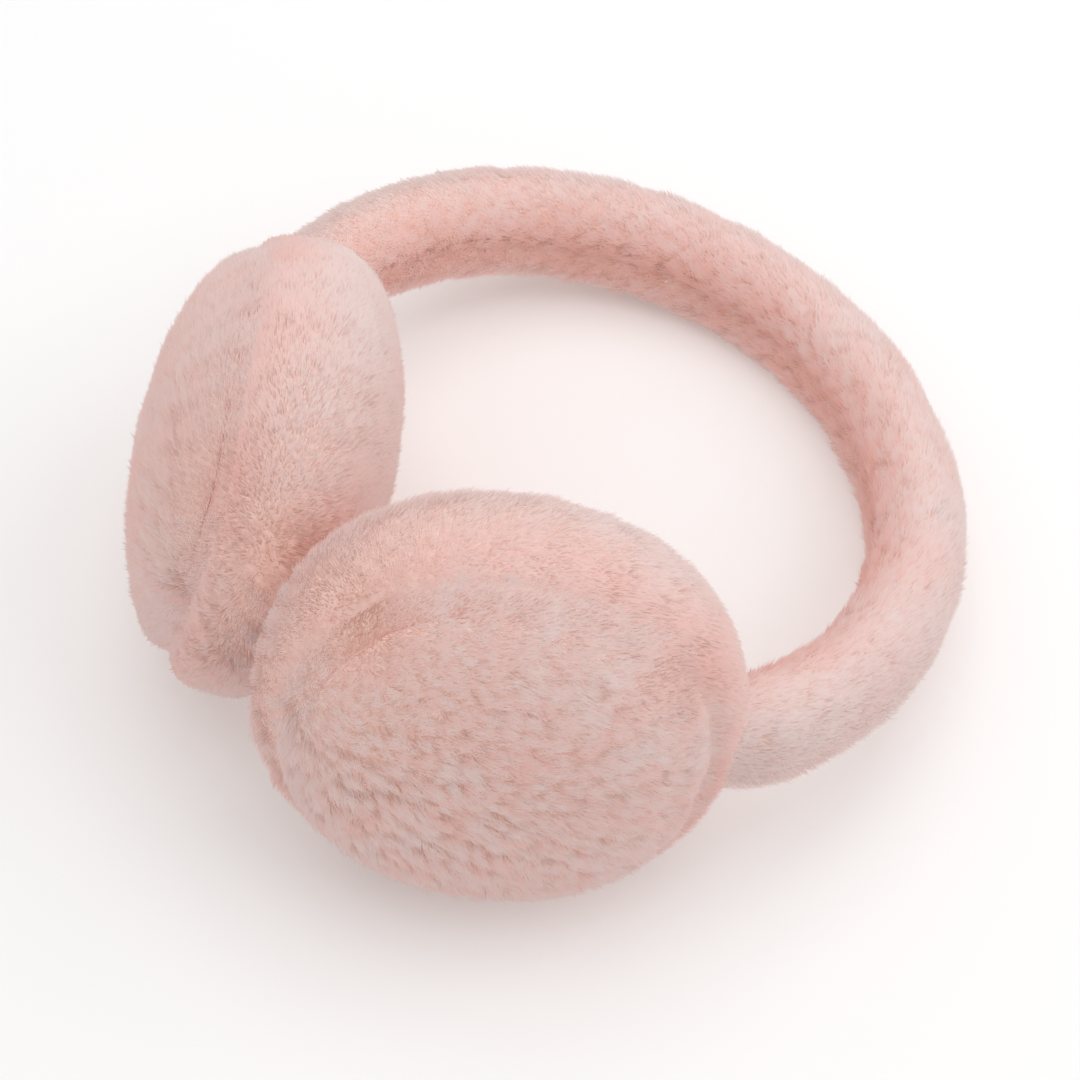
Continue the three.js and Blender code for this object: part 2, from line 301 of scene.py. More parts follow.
def end_depth(angle):
    """How far the sleeve is drawn in near its ends, where it is tucked into the pads."""
    share = np.clip((angle - BAND_END_FROM) / (BAND_SWEEP - BAND_END_FROM), 0, 1)
    return BAND_END_DEPTH * share * share * (3 - 2 * share)


class BandSkin:
    """The outer form of the band's fur, in the band's frame: the crown at +y, the pads at -y."""

    def station(self, points):
        return np.arctan2(points[:, 0] / BAND_RADIUS_ACROSS, points[:, 1] / BAND_RADIUS_UP)

    def line(self, angle):
        flat = np.zeros_like(angle)
        place = np.stack([BAND_RADIUS_ACROSS * np.sin(angle), BAND_RADIUS_UP * np.cos(angle), flat], axis=1)
        along = unit(np.stack([
            BAND_RADIUS_ACROSS * np.cos(angle), -BAND_RADIUS_UP * np.sin(angle), flat], axis=1))
        out = np.stack([-along[:, 1], along[:, 0], flat], axis=1)
        return place, along, out

    def section(self, points):
        """Each point's offsets from the middle line as shares of the half sizes: out, and up."""
        place, _, out = self.line(self.station(points))
        away = ((points - place) * out).sum(axis=1) / BAND_HALF_THICK
        return away, points[:, 2] / BAND_HALF_WIDE, place, out

    def fill(self, points):
        away, up, _, _ = self.section(points)
        return np.hypot(away, up)

    def onto(self, points):
        away, up, place, out = self.section(points)
        size = np.maximum(np.hypot(away, up), 1e-6)
        skin = place + out * (away / size * BAND_HALF_THICK)[:, None]
        skin[:, 2] = up / size * BAND_HALF_WIDE
        return skin

    def normal(self, points):
        away, up, _, out = self.section(points)
        slope = out * (away / BAND_HALF_THICK)[:, None]
        slope[:, 2] = up / BAND_HALF_WIDE
        return unit(slope)

    def crease(self, points):
        away, up, _, _ = self.section(points)
        from_seam = np.abs(np.arctan2(up, -away))
        drawn = BAND_CREASE_DEPTH * np.maximum(0, 1 - from_seam / BAND_CREASE_ARC) ** 2
        return drawn + end_depth(np.abs(self.station(points)))

    def shade(self, points):
        return np.zeros(len(points))

    def scatter(self, count, low, high):
        """count places spread evenly over the sleeve, between two angles from the crown."""
        first, second = even_pairs(count)
        round_ = np.linspace(0, 2 * math.pi, ROUND_SAMPLES)
        step = np.hypot(
            np.diff(np.cos(round_)) * BAND_HALF_THICK, np.diff(np.sin(round_)) * BAND_HALF_WIDE)
        walked = np.concatenate([[0], np.cumsum(step)])
        turn = np.interp(second * walked[-1], walked, round_)
        place, _, out = self.line(low + first * (high - low))
        place = place + out * (np.cos(turn) * BAND_HALF_THICK)[:, None]
        place[:, 2] = np.sin(turn) * BAND_HALF_WIDE
        return place


# %% [markdown]
# ## Backings
# Under the pile each panel is knitted cloth, sewn and stuffed. The two halves of a pad are spun from a
# profile, as a potter would turn them, and then pushed to the pad's outline. The sleeve is spun from a
# disc along part of a circle and then fitted to the band's real line. They sit one pile deep under the
# outer form, so the fur has something to stand on.

# %% Helpers for meshes
PILE = 5.2 * MM
BACKING_DEPTH = 3.3 * MM
BACKING_CLEARANCE = 1.0 * MM
PROFILE_STEPS = 14
SPIN_STEPS = 56


def piece_from(bm, name, node):
    """Turns a bmesh into a piece that rides on the root and stands for a node."""
    mesh = bpy.data.meshes.new(name)
    bm.to_mesh(mesh)
    bm.free()
    mesh.shade_smooth()
    return registered(mesh, name, node)


def registered(mesh, name, node):
    piece = bpy.data.objects.new(name, mesh)
    bpy.context.scene.collection.objects.link(piece)
    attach(piece, "root")
    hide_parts(node)
    return piece


def backing_reach(height):
    """How far a pad's backing reaches from its axis at a height."""
    depth = (FACE_DEPTH if height > 0 else EAR_DEPTH) - BACKING_DEPTH
    share = min(abs(height) / depth, 1.0)
    reach = (PAD_RADIUS - BACKING_DEPTH) * (1 - share**DOME_ROUND) ** (1 / RIM_ROUND)
    crease = BACKING_CREASE * CREASE_DEPTH * max(0.0, 1 - abs(height - SEAM_HEIGHT) / CREASE_REACH) ** 2
    return max(reach - crease, 0.0)


def profile_heights(low, high, steps):
    """Heights from low to high, closer together near both ends."""
    return [low + (high - low) * (1 - math.cos(math.pi * i / steps)) / 2 for i in range(steps + 1)]


def spin_pad_half(low, high, closed_at_low):
    """Spins one half of a pad's backing; its flat side is at the seam."""
    bm = bmesh.new()
    heights = profile_heights(low, high, PROFILE_STEPS)
    outline = [(backing_reach(h), h) for h in heights]
    if closed_at_low:
        outline = [(0.0, low)] + outline
        outline[-1] = (0.0, high)
    else:
        outline = outline + [(0.0, high)]
        outline[0] = (0.0, low)
    chain = [bm.verts.new((reach, height, 0.0)) for reach, height in outline]
    edges = [bm.edges.new(pair) for pair in zip(chain, chain[1:])]
    bmesh.ops.spin(bm, geom=chain + edges, cent=(0, 0, 0), axis=(0, 1, 0), dvec=(0, 0, 0),
                   angle=2 * math.pi, steps=SPIN_STEPS, use_merge=True, use_duplicate=False)
    bmesh.ops.remove_doubles(bm, verts=bm.verts, dist=0.01 * MM)
    bmesh.ops.recalc_face_normals(bm, faces=bm.faces)
    for vert in bm.verts:
        angle = math.atan2(vert.co.z, vert.co.x)
        round_ = (abs(math.cos(angle)) ** OUTLINE_ROUND + abs(math.sin(angle)) ** OUTLINE_ROUND)
        round_ **= -1 / OUTLINE_ROUND
        vert.co.x *= round_
        vert.co.z *= round_ * PAD_STRETCH
    return bm


def put(bm, matrix, mirror=None):
    """Moves a bmesh to its place and keeps it off the table and off the other pad."""
    bmesh.ops.transform(bm, matrix=Matrix(matrix.tolist()), verts=bm.verts)
    if np.linalg.det(matrix[:3, :3]) < 0:
        bmesh.ops.reverse_faces(bm, faces=bm.faces)
    for vert in bm.verts:
        vert.co.z = max(vert.co.z, BACKING_CLEARANCE)
        if mirror is not None:
            vert.co.x = mirror * max(mirror * vert.co.x, BACKING_CLEARANCE)


# %% Make the backings
SIDES = {"right": 1, "left": -1}
PAD_GAP = 0.15 * MM
BACKING_GAP = 0.02 * MM
BACKING_SINK = 1.4
SLEEVE_TUCK = 1.3
SLEEVE_CORNERS = 28
SLEEVE_STEPS = 110
# Hollows below zero are darker and thinner. The left pad's second hollow, where it presses on the right
# pad, is partly wear and partly painted shade of that contact.
HOLLOWS = {
    "right": (((40.5, 17.5, 33.0), 8, 1.8, -0.55), ((-37.0, 17.5, 35.7), 7, 2.0, -0.2)),
    "left": (SLACK, ((53.0, -4.0, 25.0), 8, 1.8, -0.45), ((43.4, 14.8, 31.4), 10, 1.5, -0.2),
             ((-42.0, -2.0, 40.0), 11, 2.8, 0.0), ((0.0, 34.0, -6.0), 25, 2.0, 0.0)),
}
pad_skin = PadSkin()
band_skin = BandSkin()


def sink(bm, skin):
    """Lets the backing follow the hollows of the fur."""
    places = np.array([vert.co[:] for vert in bm.verts])
    slopes = skin.normal(places)
    for vert, place, slope, depth in zip(bm.verts, places, slopes, skin.hollow_depth(places)):
        vert.co = place - slope * depth * BACKING_SINK


backings = {}
for side, mirror in SIDES.items():
    for half in ("face", "cushion"):
        if half == "face":
            bm = spin_pad_half(SEAM_HEIGHT + BACKING_GAP, FACE_DEPTH - BACKING_DEPTH, True)
        else:
            bm = spin_pad_half(-EAR_DEPTH + BACKING_DEPTH, SEAM_HEIGHT - BACKING_GAP, False)
        sink(bm, PadSkin(HOLLOWS[side]))
        put(bm, pad_matrix(mirror), mirror)
        node = f"{side}_pad_{half}"
        backings[node] = piece_from(bm, f"{node}_backing", node)

bm = bmesh.new()
turn_in = Matrix.Rotation(BAND_SWEEP, 4, "Z") @ Matrix.Translation((0, BAND_RADIUS_UP, 0))
bmesh.ops.create_circle(bm, cap_ends=True, segments=SLEEVE_CORNERS, radius=1.0,
                        matrix=turn_in @ Matrix.Rotation(math.pi / 2, 4, "Y"))
for vert in bm.verts:
    flat = turn_in.inverted() @ vert.co
    flat.y *= BAND_HALF_THICK - BACKING_DEPTH
    flat.z *= BAND_HALF_WIDE - BACKING_DEPTH
    vert.co = turn_in @ flat
bmesh.ops.spin(bm, geom=bm.verts[:] + bm.edges[:] + bm.faces[:], cent=(0, 0, 0), axis=(0, 0, -1),
               dvec=(0, 0, 0), angle=2 * BAND_SWEEP, steps=SLEEVE_STEPS, use_merge=False,
               use_duplicate=False)
bmesh.ops.recalc_face_normals(bm, faces=bm.faces)
for vert in bm.verts:
    angle = math.atan2(vert.co.x, vert.co.y)
    away = math.hypot(vert.co.x, vert.co.y) - BAND_RADIUS_UP
    from_seam = abs(math.atan2(vert.co.z, -away)) / BAND_CREASE_ARC
    drawn = BACKING_CREASE * BAND_CREASE_DEPTH * max(0.0, 1 - from_seam) ** 2
    away += drawn if away < 0 else 0.0
    tuck = 1 - SLEEVE_TUCK * float(end_depth(abs(angle))) / BAND_HALF_THICK
    away *= tuck
    vert.co.z *= tuck
    place, _, out = band_skin.line(np.array([angle]))
    vert.co.x = place[0, 0] + out[0, 0] * away
    vert.co.y = place[0, 1] + out[0, 1] * away
put(bm, band_matrix())
backings["headband_sleeve"] = piece_from(
    bm, "headband_sleeve_backing", "headband_sleeve")
print("backings:", {name: len(piece.data.polygons) for name, piece in backings.items()})

# %% [markdown]
# ## Pile
# A plush pile is a forest of soft hairs. They rise from the cloth, bend over and lie along the nap, and
# they cling together in locks, so that small pits open between the locks. Particle hair can't be
# exported, so each hair is a kite of two triangles, bent across its widest place. Locks are scattered
# evenly, and each hair of a lock starts beside it and leans towards its tip. Numpy works out all hairs
# of a panel at once. A measure that is a pair has its value for calm fur first, and then what the wildest
# fur adds to it. The heart of a lock is a value above zero at its middle and below zero at its edge.

# %% Waves that vary the fur smoothly from place to place
WAVE_COUNT = 6
WAVE_PITCHES = (0.6, 1.6)
WAVE_PEAK = 1.6
NAP_GRIP = 3.0
LEAST_LIE = 0.25


def waves(points, length, seed):
    """A smooth random value, about -1 to 1, that changes over the given length."""
    random = np.random.default_rng(seed)
    value = np.zeros(len(points))
    for _ in range(WAVE_COUNT):
        direction = random.normal(size=3)
        direction /= np.linalg.norm(direction)
        pitch = length * random.uniform(*WAVE_PITCHES)
        value += np.sin(points @ direction * 2 * math.pi / pitch + random.uniform(0, 2 * math.pi))
    return value / math.sqrt(WAVE_COUNT / 2) / WAVE_PEAK


def combed(directions, normals, angle):
    """Lays directions into the skin and turns them; also how far each can lie over, up to 1."""
    flat = directions - normals * (directions * normals).sum(axis=1, keepdims=True)
    length = np.linalg.norm(flat, axis=1)
    flat = unit(flat)
    side = np.cross(normals, flat)
    laid = flat * np.cos(angle)[:, None] + side * np.sin(angle)[:, None]
    return laid, np.clip(NAP_GRIP * length, LEAST_LIE, 1.0)


# %% Measures of the pile
WAVE_TURN = (0.05, 0.35)
LOCK_TURN = (0.06, 0.26)
LOCK_LEAN = (2.9 * MM, 3.3 * MM)
LOCK_LEAN_SPREAD = (0.06, 0.14)
LOCK_RISE_SPREAD = (0.06, 0.42)
LOCK_TONE_SPREAD = (0.02, 0.16)
LOCK_GATHER = (0.15, 0.65)
HEART_RISE = (0.1, 1.1)
LOCK_SHADE_TONE = (0.05, 0.6)

TURN_WAVE = 30 * MM
RISE_WAVE = 15 * MM
RISE_WAVE_SIZE = 0.4 * MM
TONE_WAVE = 20 * MM
TONE_WAVE_SIZE = 0.10

HAIR_SCATTER = 0.56
HAIR_TURN_SPREAD = 0.14
HAIR_LEAN_SPREAD = 0.12
HAIR_RISE_SPREAD = 0.24 * MM
HAIR_TONE_SPREAD = 0.08
PILE_TRIM = 0.2 * MM
STRAY_SHARE = 0.02
STRAY_RISE = 0.9 * MM
BEND = (0.58, 0.5, 0.82)
HEART_LEVEL = 0.38
HEART_REACH = 1.2
PIT_SHADE = 1.25
LEAST_UNSHADED_UNWORN = 0.2
TONE_ENDS = (0.02, 0.98)

WEAR_AND_SHADE_GAIN = 2.0
WORN_DEPTH = 1.5 * MM
WEAR_AND_SHADE_DARKENING = 0.7
MISSING_GAIN = 1.6
MOST_MISSING = 0.75

LOWEST_POINT = 0.2 * MM
LOWEST_EDGE = 0.1 * MM


def by_wildness(pair, wild):
    """A measure between its calm value and its value in the wildest fur."""
    calm, added = pair
    return calm + added * wild


# %% Grow the hairs of one panel
def grow(skin, centres, hairs_per_lock, spacing, coat, seed):
    """Feet, bends, tips, skin normals and tones of all hairs, in the skin's own frame, and how far painted
    shade and wear darken their tips.

    The coat gives, for each lock, the nap, how wild it is from 0 to 1, and how pale it is. Hairs at the
    heart of a lock stand higher and are paler. Those at its edge are sunk, deeper in tone, and their tips
    keep the colour of a root: this is painted shade, which darkens the pits between locks, since the hairs
    cast no shadow.
    """
    random = np.random.default_rng(seed)
    locks = len(centres)
    normals = skin.normal(centres)
    nap, wild, pale = coat(centres)
    swirl = by_wildness(WAVE_TURN, wild) * waves(centres, TURN_WAVE, seed + 1)
    swirl += by_wildness(LOCK_TURN, wild) * random.normal(size=locks)
    flow, strength = combed(nap, normals, swirl)
    lock_lean = by_wildness(LOCK_LEAN, wild) * strength
    lock_lean *= 1 + by_wildness(LOCK_LEAN_SPREAD, wild) * random.normal(size=locks)
    lock_rise = by_wildness(LOCK_RISE_SPREAD, wild) * MM * random.normal(size=locks)
    lock_rise += RISE_WAVE_SIZE * waves(centres, RISE_WAVE, seed + 3)
    # Hollows below zero deepen the tone; at the pads' contact this is partly painted shade.
    lock_tone = pale + skin.shade(centres) + TONE_WAVE_SIZE * waves(centres, TONE_WAVE, seed + 4)
    lock_tone += by_wildness(LOCK_TONE_SPREAD, wild) * random.normal(size=locks)
    lock_gather = by_wildness(LOCK_GATHER, wild)

    lock = np.repeat(np.arange(locks), hairs_per_lock)
    count = len(lock)
    centre = centres[lock]
    normal = normals[lock]
    east = unit(np.cross(normal, flow[lock]))
    scatter = random.normal(size=(count, 2)) * spacing * HAIR_SCATTER
    root = skin.onto(centre + east * scatter[:, :1] + flow[lock] * scatter[:, 1:])

    reach = lock_lean[lock] * (1 + HAIR_LEAN_SPREAD * random.normal(size=count))
    rise = lock_rise[lock] + HAIR_RISE_SPREAD * random.normal(size=count) - PILE_TRIM
    rise += np.where(random.random(count) < STRAY_SHARE, STRAY_RISE, 0.0)
    from_centre = np.linalg.norm(scatter, axis=1) / (HEART_REACH * spacing)
    heart = HEART_LEVEL - np.clip(from_centre, 0, 1) ** 2
    rise += by_wildness(HEART_RISE, wild[lock]) * MM * heart
    # Where a hollow is below zero the hairs are shorter and their tips keep root colour; at the pads'
    # contact this is partly painted shade.
    wear_and_contact_shade = np.clip(-WEAR_AND_SHADE_GAIN * skin.shade(root), 0, 1)
    rise -= WORN_DEPTH * wear_and_contact_shade
    # Painted shade: at the edge of a lock the tip keeps the colour of a root, which darkens the pits
    # between locks.
    unshaded_unworn = (1 + PIT_SHADE * wild[lock] * np.minimum(heart, 0)) * (1 - WEAR_AND_SHADE_DARKENING * wear_and_contact_shade)
    heading, _ = combed(flow[lock], normal, HAIR_TURN_SPREAD * random.normal(size=count))
    gather = lock_gather[lock]

    def hair_point(ahead, gathered, height):
        pull = (gather * gathered)[:, None]
        spot = root * (1 - pull) + centre * pull + heading * (reach * ahead)[:, None]
        on_skin = skin.onto(spot)
        slope = skin.normal(on_skin)
        sunk = skin.crease(on_skin) + PILE * (1 - height) - rise * height
        return on_skin - slope * sunk[:, None], slope

    foot, _ = hair_point(0.0, 0.0, 0.0)
    bend, _ = hair_point(*BEND)
    tip, slope = hair_point(1.0, 1.0, 1.0)
    # Painted shade: the tone is deeper at the edge of a lock and paler at its middle.
    tone = lock_tone[lock] + by_wildness(LOCK_SHADE_TONE, wild[lock]) * heart
    tone += HAIR_TONE_SPREAD * random.normal(size=count)
    return {"foot": foot, "bend": bend, "tip": tip, "normal": slope,
            "tone": np.clip(tone, *TONE_ENDS), "unshaded_unworn": np.clip(unshaded_unworn, LEAST_UNSHADED_UNWORN, 1)}


def worn_off(hairs, skin, seed):
    """True for the hairs that are missing where the pile has thinned, at hollows below zero."""
    random = np.random.default_rng(seed)
    missing = np.clip(-MISSING_GAIN * skin.shade(hairs["foot"]), 0, MOST_MISSING)
    return random.random(len(missing)) < missing


def kept(hairs, keep):
    return {name: values[keep] for name, values in hairs.items()}


def placed(hairs, matrix, mirror=None):
    """Puts the hairs in their place, pressed flat where they meet the table or the other pad."""
    out = {"tone": hairs["tone"], "unshaded_unworn": hairs["unshaded_unworn"], "normal": unit(turned(matrix, hairs["normal"]))}
    for part in ("foot", "bend", "tip"):
        points = moved(matrix, hairs[part])
        points[:, 2] = np.maximum(points[:, 2], LOWEST_POINT)
        if mirror is not None:
            points[:, 0] = mirror * np.maximum(mirror * points[:, 0], PAD_GAP)
        out[part] = points
    return out


# %% Turn hairs into one mesh of kites
HAIR_ROLL = 0.4
HAIR_WIDTHS = (0.7, 1.3)
MAP_STRIP = 0.004
BEND_ON_MAP = 0.55
SKIN_SHARE = 0.85


def kites(hairs, name, width, seed):
    """A mesh with two triangles for each hair. On the map OFBake it lies at its tone, root to tip."""
    random = np.random.default_rng(seed)
    count = len(hairs["foot"])
    along = unit(hairs["tip"] - hairs["foot"])
    side = unit(np.cross(along, hairs["normal"]))
    roll = random.uniform(-HAIR_ROLL, HAIR_ROLL, size=count)
    across = side * np.cos(roll)[:, None] + np.cross(along, side) * np.sin(roll)[:, None]
    across *= width * random.uniform(*HAIR_WIDTHS, size=count)[:, None] / 2
    corners = np.stack(
        [hairs["foot"], hairs["bend"] - across, hairs["bend"] + across, hairs["tip"]], axis=1)
    corners[:, :, 2] = np.maximum(corners[:, :, 2], LOWEST_EDGE)

    mesh = bpy.data.meshes.new(name)
    mesh.vertices.add(count * 4)
    mesh.loops.add(count * 6)
    mesh.polygons.add(count * 2)
    mesh.vertices.foreach_set("co", corners.ravel())
    loops = np.arange(count)[:, None] * 4 + np.array([[0, 2, 1, 1, 2, 3]])
    mesh.loops.foreach_set("vertex_index", loops.ravel())
    mesh.polygons.foreach_set("loop_start", np.arange(count * 2) * 3)
    mesh.polygons.foreach_set("loop_total", np.full(count * 2, 3))
    mesh.update(calc_edges=True)

    u = hairs["tone"][:, None] + MAP_STRIP * np.array([[0.0, 1.0, -1.0, -1.0, 1.0, 0.0]])
    v = hairs["unshaded_unworn"][:, None] * np.array([[0.0] + [BEND_ON_MAP] * 4 + [1.0]])
    layer = mesh.uv_layers.new(name="OFBake")
    layer.uv.foreach_set("vector", np.stack([u, v], axis=2).ravel())

    facing = unit(hairs["normal"] - along * (hairs["normal"] * along).sum(axis=1, keepdims=True))
    soft = unit(hairs["normal"] * SKIN_SHARE + facing * (1 - SKIN_SHARE))
    mesh.normals_split_custom_set_from_vertices(np.repeat(soft, 4, axis=0))
    return mesh


# %% [markdown]
# ## Nap
# The lie of the fur is what the eye reads first, because fur that leans away looks smooth and pale, and
# fur that points at the eye shows its salmon roots. On a pad it runs from the free rim to the band. On
# a face it fans out, and it is wildest between its start and the middle. On the sleeve it runs along the
# band, to the left pad, and it slants up and out.

# %% Coats of the three panels
FAN_START = np.array([0.86 * PAD_RADIUS, 0.5 * FACE_DEPTH, 0.05 * PAD_RADIUS])
FAN_EASE = 10 * MM
TUFTED = np.array([0.45 * PAD_RADIUS, FACE_DEPTH, -0.2 * PAD_RADIUS])
TUFTED_REACH = 26 * MM
RIM_SHARE = 0.35
CALM_SHARE = 0.45
CUSHION_START = np.array([PAD_RADIUS, 0.5 * SEAM_HEIGHT, 0.0])
CUSHION_START_REACH = 24 * MM
SEAM_REACH = 8 * MM
# Painted shade of the crease just below the seam, on the cushion side.
SEAM_SHADE_HEIGHT = SEAM_HEIGHT - 4 * MM
SEAM_SHADE_REACH = 9 * MM
SLEEVE_SLANT = np.array([0.0, 0.0, 0.5])
# Painted shade of the crease along the sleeve's seam.
SLEEVE_SEAM_SHADE_REACH = 0.3


def face_coat(points):
    """Wild away from the rim, most of all at TUFTED, and darker where it is wild."""
    nap = points - FAN_START
    nap = nap / np.maximum(np.linalg.norm(nap, axis=1), FAN_EASE)[:, None]
    from_rim = np.clip(1 - pad_skin.spread(points) / PAD_RADIUS, 0, 1)
    inner = np.clip(from_rim / RIM_SHARE, 0, 1)
    tufted = bell(np.linalg.norm(points - TUFTED, axis=1), TUFTED_REACH)
    wild = inner * (0.55 + 0.4 * tufted)
    low = np.clip(-points[:, 2] / PAD_RADIUS, 0, 1)
    return nap, wild, 0.74 - 0.30 * wild + 0.08 * low


def calm_face_coat(points):
    """The left face lies flatter than the right one."""
    nap, wild, pale = face_coat(points)
    return nap, CALM_SHARE * wild, pale


def cushion_coat(points):
    """Calm, a little wilder at the seam and where the nap starts, and darker just below the seam, which is
    painted shade of the crease.
    """
    nap = np.tile([-1.0, 0.0, 0.0], (len(points), 1))
    near_start = bell(np.linalg.norm(points - CUSHION_START, axis=1), CUSHION_START_REACH)
    near_seam = bell(points[:, 1] - SEAM_HEIGHT, SEAM_REACH)
    wild = 0.04 + 0.10 * near_seam + 0.18 * near_start
    return nap, wild, 0.85 - 0.5 * bell(points[:, 1] - SEAM_SHADE_HEIGHT, SEAM_SHADE_REACH)


def sleeve_coat(points):
    """Wilder and deeper pink on the inner side, and deepest along the seam, where the darkening is painted
    shade of the crease.
    """
    away, up, _, out = band_skin.section(points)
    _, along, _ = band_skin.line(band_skin.station(points))
    nap = unit(0.3 * out + SLEEVE_SLANT - along)
    inner = np.clip(0.5 - 0.5 * away, 0, 1)
    near_seam = bell(np.arctan2(up, -away), SLEEVE_SEAM_SHADE_REACH)
    return nap, 0.05 + 0.5 * inner**2, 0.85 - 0.45 * inner - 0.4 * near_seam


# %% [markdown]
# ## Fur colours
# Each hair is deep salmon pink at its root and pale at its tip. Where one looks straight into the pile the
# roots show through, and along the rims only tips show, which makes the rims pale. A second value, the
# tone, shifts whole locks a little. Both are read from the map that the hairs carry. A real fibre is
# thinner than a tenth of these hairs and passes most light on, so the pile glows softly and has no hard
# shadows. That is why the hairs are partly translucent and cast no shadow; the backing casts it. The shade
# still seen deep in the pile is painted instead: the root colours are partly painted shade, the deepest one
# most of all, and the tone is deeper at the edges of locks, along the seams and where the left pad presses
# on the right one.

# %% Fur material
def ramp(nodes, stops):
    node = nodes.new("ShaderNodeValToRGB")
    while len(node.color_ramp.elements) < len(stops):
        node.color_ramp.elements.new(0.5)
    for element, (position, color) in zip(node.color_ramp.elements, stops):
        element.position = position
        element.color = (*color, 1.0)
    return node


def fur_material(name, deep, pale):
    """deep and pale are lists of (place along the hair, colour) for the darkest and lightest hairs."""
    material = bpy.data.materials.new(name)
    material.use_nodes = True
    nodes = material.node_tree.nodes
    links = material.node_tree.links
    nodes.clear()
    uv = nodes.new("ShaderNodeUVMap")
    uv.uv_map = "OFBake"
    split = nodes.new("ShaderNodeSeparateXYZ")
    links.new(uv.outputs["UV"], split.inputs["Vector"])
    deep_ramp = ramp(nodes, deep)
    pale_ramp = ramp(nodes, pale)
    links.new(split.outputs["Y"], deep_ramp.inputs["Fac"])
    links.new(split.outputs["Y"], pale_ramp.inputs["Fac"])
    mix = nodes.new("ShaderNodeMix")
    mix.data_type = "RGBA"
    links.new(split.outputs["X"], mix.inputs["Factor"])
    links.new(deep_ramp.outputs["Color"], mix.inputs["A"])
    links.new(pale_ramp.outputs["Color"], mix.inputs["B"])
    color = mix.outputs["Result"]
    surface = nodes.new("ShaderNodeBsdfPrincipled")
    surface.inputs["Roughness"].default_value = 0.8
    surface.inputs["Specular IOR Level"].default_value = 0.25
    surface.inputs["Sheen Weight"].default_value = 0.25
    surface.inputs["Sheen Roughness"].default_value = 0.5
    surface.inputs["Sheen Tint"].default_value = (1.0, 0.93, 0.91, 1.0)
    links.new(color, surface.inputs["Base Color"])
    glow = nodes.new("ShaderNodeBsdfTranslucent")
    links.new(color, glow.inputs["Color"])
    blend = nodes.new("ShaderNodeMixShader")
    blend.inputs["Fac"].default_value = 0.5
    links.new(surface.outputs["BSDF"], blend.inputs[1])
    links.new(glow.outputs["BSDF"], blend.inputs[2])
    output = nodes.new("ShaderNodeOutputMaterial")
    links.new(blend.outputs["Shader"], output.inputs["Surface"])
    return material


# Painted shade: the root colours, the deepest one most of all, are partly the real salmon and tan of the
# roots and partly the shade deep in the pile.
ROOT_TAN_AND_SHADE = (0.62, 0.37, 0.29)
ROOT_PALE = (0.76, 0.57, 0.51)
MIDDLE_DEEP = (0.91, 0.58, 0.53)
MIDDLE_PALE = (0.865, 0.785, 0.768)
TIP_DEEP = (0.93, 0.655, 0.61)
TIP_PALE = (0.875, 0.856, 0.862)
FUR = fur_material(
    "plush_pile",
    [(0.2, ROOT_TAN_AND_SHADE), (0.5, MIDDLE_DEEP), (1.0, TIP_DEEP)],
    [(0.2, ROOT_PALE), (0.5, MIDDLE_PALE), (1.0, TIP_PALE)],
)


def dressed(piece):
    """Gives a piece its fur. The hairs cast no shadow, and bounced and passing light skips them."""
    piece.data.materials.append(FUR)
    piece.visible_shadow = False
    piece.visible_diffuse = False
    piece.visible_transmission = False
    return piece


# %% Backing material
BACKING_DEEP = (0.76, 0.45, 0.38)
BACKING_PALE = (0.88, 0.59, 0.52)


def backing_material():
    """Backing cloth under short dense underfur: salmon pink and softly mottled."""
    material = bpy.data.materials.new("plush_backing")
    material.use_nodes = True
    nodes = material.node_tree.nodes
    links = material.node_tree.links
    surface = nodes["Principled BSDF"]
    place = nodes.new("ShaderNodeTexCoord")
    mottle = nodes.new("ShaderNodeTexNoise")
    mottle.inputs["Scale"].default_value = 420.0
    mottle.inputs["Detail"].default_value = 5.0
    links.new(place.outputs["Object"], mottle.inputs["Vector"])
    tint = ramp(nodes, [(0.3, BACKING_DEEP), (0.7, BACKING_PALE)])
    links.new(mottle.outputs["Fac"], tint.inputs["Fac"])
    links.new(tint.outputs["Color"], surface.inputs["Base Color"])
    bump = nodes.new("ShaderNodeBump")
    bump.inputs["Strength"].default_value = 0.5
    bump.inputs["Distance"].default_value = 0.5 * MM
    links.new(mottle.outputs["Fac"], bump.inputs["Height"])
    links.new(bump.outputs["Normal"], surface.inputs["Normal"])
    surface.inputs["Roughness"].default_value = 0.95
    return material


BACKING = backing_material()
for piece in backings.values():
    piece.data.materials.append(BACKING)

# %% [markdown]
# ## Growing the pads' fur
# A piece stays under 200,000 triangles, so an ear side gets about 96,000 hairs, and a face, which is
# smaller, about 66,000. Where the sleeve runs into the rim, the pad grows no fur.

# %% Fur on the pads
FACE_HAIRS = 66000
CUSHION_HAIRS = 96000
FACE_LOCK = (44, 2.9 * MM, 0.21 * MM)
CUSHION_LOCK = (64, 3.6 * MM, 0.27 * MM)
SLEEVE_COVER = 0.7
PANELS = (
    ("face", FACE_HAIRS, FACE_LOCK, SEAM_HEIGHT, FACE_DEPTH, 7),
    ("cushion", CUSHION_HAIRS, CUSHION_LOCK, -EAR_DEPTH, SEAM_HEIGHT, 31),
)
COATS = {
    "right_pad_face": face_coat,
    "right_pad_cushion": cushion_coat,
    "left_pad_face": calm_face_coat,
    "left_pad_cushion": cushion_coat,
}


def under_band(hairs, matrix):
    """True for hairs of a pad whose middles lie inside the sleeve."""
    in_band = moved(np.linalg.inv(band_matrix()), moved(matrix, hairs["bend"]))
    within = np.abs(band_skin.station(in_band)) < BAND_SWEEP
    return within & (band_skin.fill(in_band) < SLEEVE_COVER)


